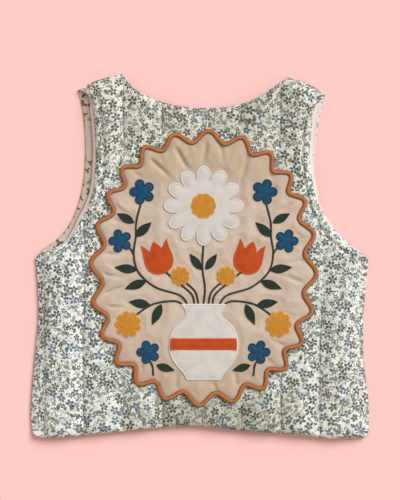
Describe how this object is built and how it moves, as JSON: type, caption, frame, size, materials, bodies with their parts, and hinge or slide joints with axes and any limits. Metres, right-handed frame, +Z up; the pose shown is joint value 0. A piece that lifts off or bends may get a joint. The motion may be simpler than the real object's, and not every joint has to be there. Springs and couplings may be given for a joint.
{
  "type": "quilted waistcoat",
  "caption": "Child's sleeveless quilted cotton waistcoat laid flat, back uppermost, with a wavy-edged oval applique medallion of flowers in a vase.",
  "frame": {"origin": "on the surface the waistcoat lies on, under the middle of its outline", "axes": "+Z up from the surface, +Y from the hem towards the neck, +X to the right of the back as it is looked down on"},
  "size_m": [0.3382, 0.3644, 0.0141],
  "materials": {
    "print_cotton": "matt printed cotton, quilted over wadding",
    "lining_cotton": "matt beige cotton with small printed sprigs",
    "patch_cotton": "matt beige cotton, sewn flat",
    "cord": "satin covered cord",
    "white_cotton": "matt white cotton applique",
    "orange_cotton": "matt orange cotton applique",
    "blue_cotton": "matt blue felted cotton applique",
    "mustard_cotton": "matt mustard felted cotton applique",
    "green_cotton": "matt dark green cotton applique"
  },
  "bodies": {
    "root": {"back_panel": "print_cotton", "front_left_panel": "print_cotton", "front_left_lining": "lining_cotton", "front_right_panel": "print_cotton", "front_right_lining": "lining_cotton", "medallion_patch": "patch_cotton", "medallion_cord": "cord", "vase": "white_cotton", "vase_band": "orange_cotton", "daisy": "white_cotton", "daisy_centre": "mustard_cotton", "tulip_left": "orange_cotton", "blue_flower_1_left": "blue_cotton", "blue_flower_2_left": "blue_cotton", "blue_flower_3_left": "blue_cotton", "mustard_flower_1_left": "mustard_cotton", "mustard_flower_2_left": "mustard_cotton", "leaf_1_left": "green_cotton", "leaf_2_left": "green_cotton", "leaf_3_left": "green_cotton", "leaf_4_left": "green_cotton", "leaf_5_left": "green_cotton", "leaf_6_left": "green_cotton", "leaf_7_left": "green_cotton", "leaf_8_left": "green_cotton", "tulip_right": "orange_cotton", "blue_flower_1_right": "blue_cotton", "blue_flower_2_right": "blue_cotton", "blue_flower_3_right": "blue_cotton", "mustard_flower_1_right": "mustard_cotton", "mustard_flower_2_right": "mustard_cotton", "leaf_1_right": "green_cotton", "leaf_2_right": "green_cotton", "leaf_3_right": "green_cotton", "leaf_4_right": "green_cotton", "leaf_5_right": "green_cotton", "leaf_6_right": "green_cotton", "leaf_7_right": "green_cotton", "leaf_8_right": "green_cotton"}
  },
  "joints": []
}
